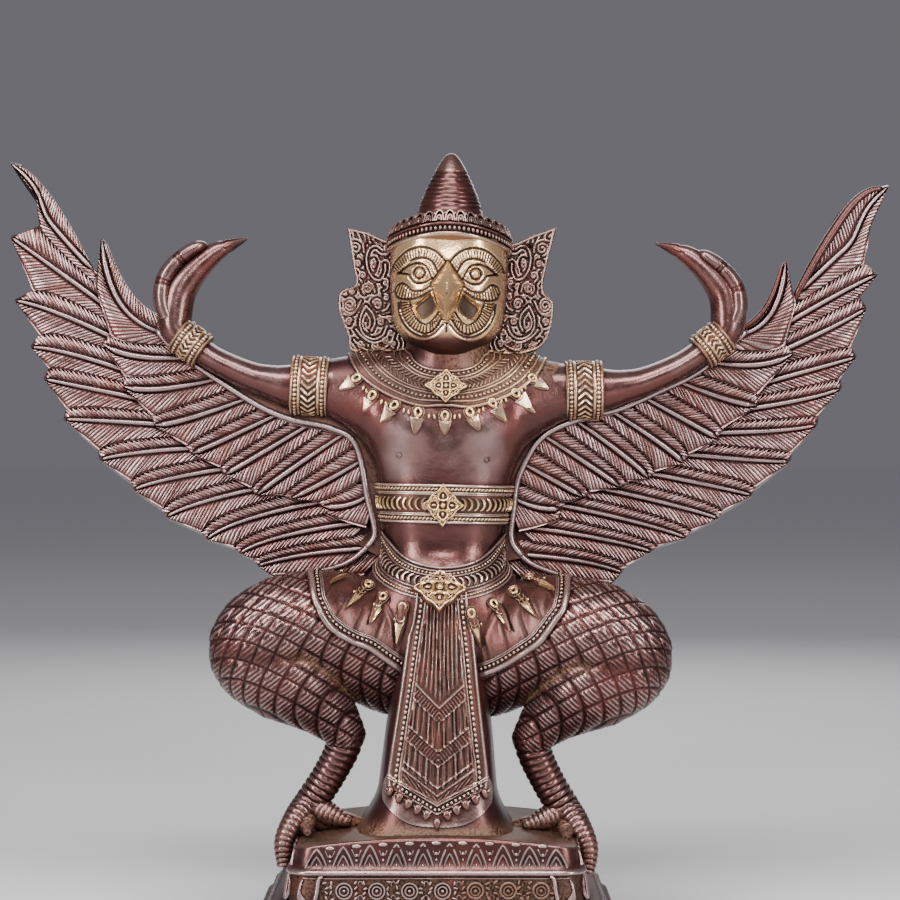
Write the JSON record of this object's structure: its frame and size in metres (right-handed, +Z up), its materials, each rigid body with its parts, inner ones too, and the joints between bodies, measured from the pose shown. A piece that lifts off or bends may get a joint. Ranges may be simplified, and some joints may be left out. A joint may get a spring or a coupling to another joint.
{
  "type": "garuda statue",
  "caption": "Cast bronze garuda with a brass face, spread feathered wings, raised curved hands and bird legs, squatting on a low ornamented plinth.",
  "frame": {"origin": "centre of the plinth's underside", "axes": "+Z up, +X to the viewer's right across the wings, the figure faces -Y"},
  "size_m": [0.6648, 0.214, 0.5764],
  "materials": {
    "figure_bronze": "dark red-brown patina, polished on the raised parts, with the face, bands and spikes rubbed to brass",
    "plinth_bronze": "dark red-brown patina with dust in the hollows"
  },
  "bodies": {
    "root": {"garuda_figure": "figure_bronze", "plinth": "plinth_bronze"}
  },
  "joints": []
}
